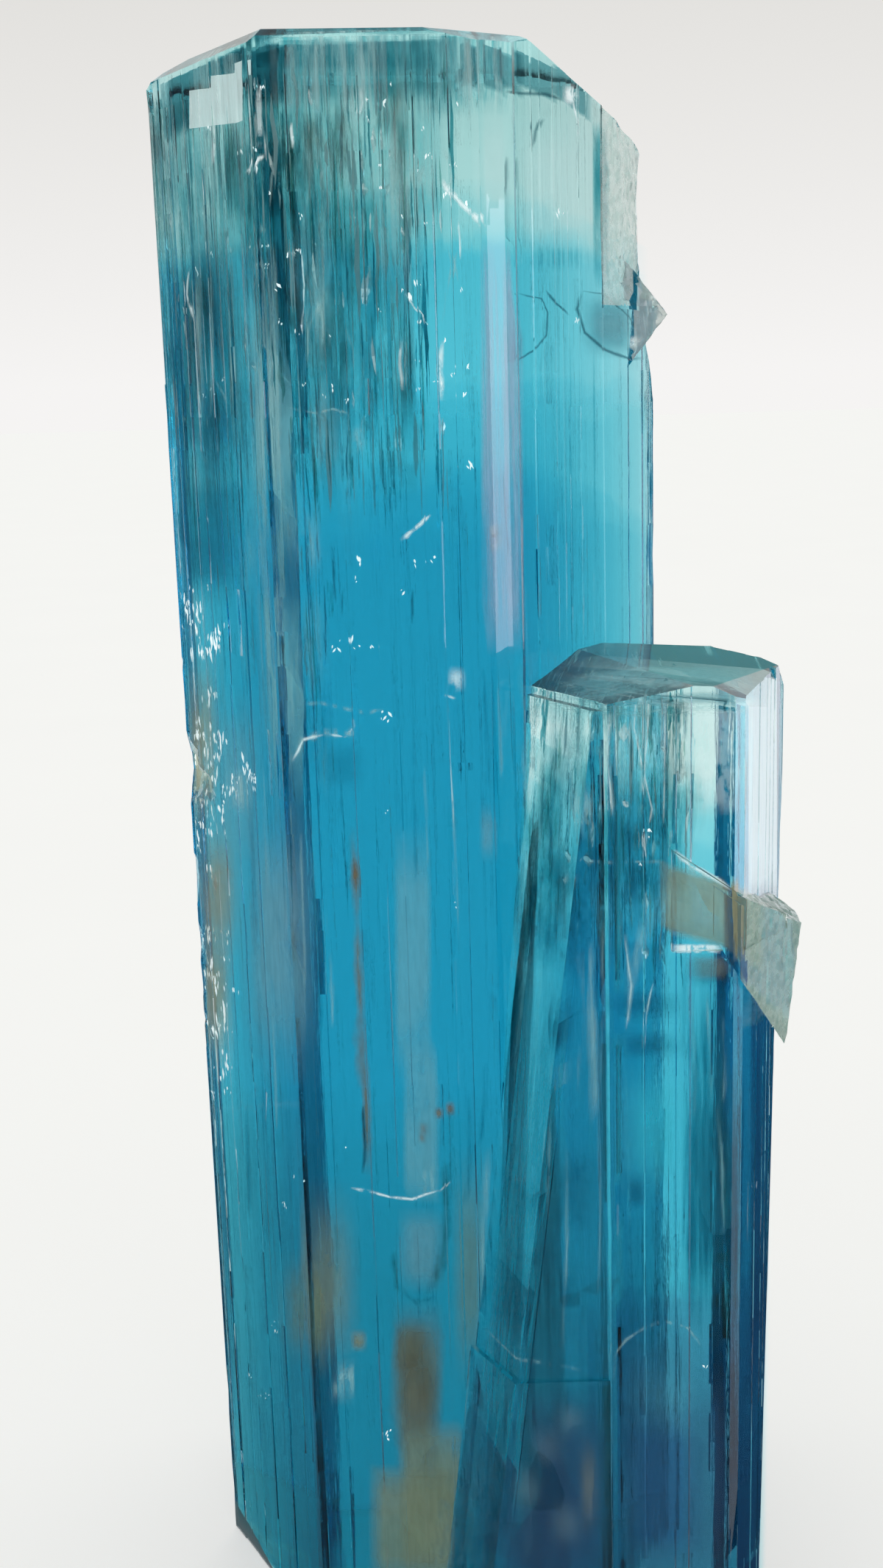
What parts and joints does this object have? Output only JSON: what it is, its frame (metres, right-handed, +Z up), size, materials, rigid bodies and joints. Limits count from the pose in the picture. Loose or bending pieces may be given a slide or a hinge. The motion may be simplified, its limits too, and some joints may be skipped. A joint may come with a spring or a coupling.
{
  "type": "aquamarine crystal",
  "caption": "Blue aquamarine crystal standing on its cut foot: a tall six-sided prism with a shorter prism grown against its front side.",
  "frame": {"origin": "centre of the bounding box at the level of the cut foot", "axes": "+Z up along the crystal's long axis, -Y towards the widest front face, +X towards the shorter crystal"},
  "size_m": [0.07, 0.0566, 0.1842],
  "materials": {
    "beryl": "transparent blue, grey-green at the top and deep blue at the foot, glossy growth faces with upright striations, inclusions inside"
  },
  "bodies": {
    "root": {"aquamarine_crystal": "beryl"}
  },
  "joints": []
}
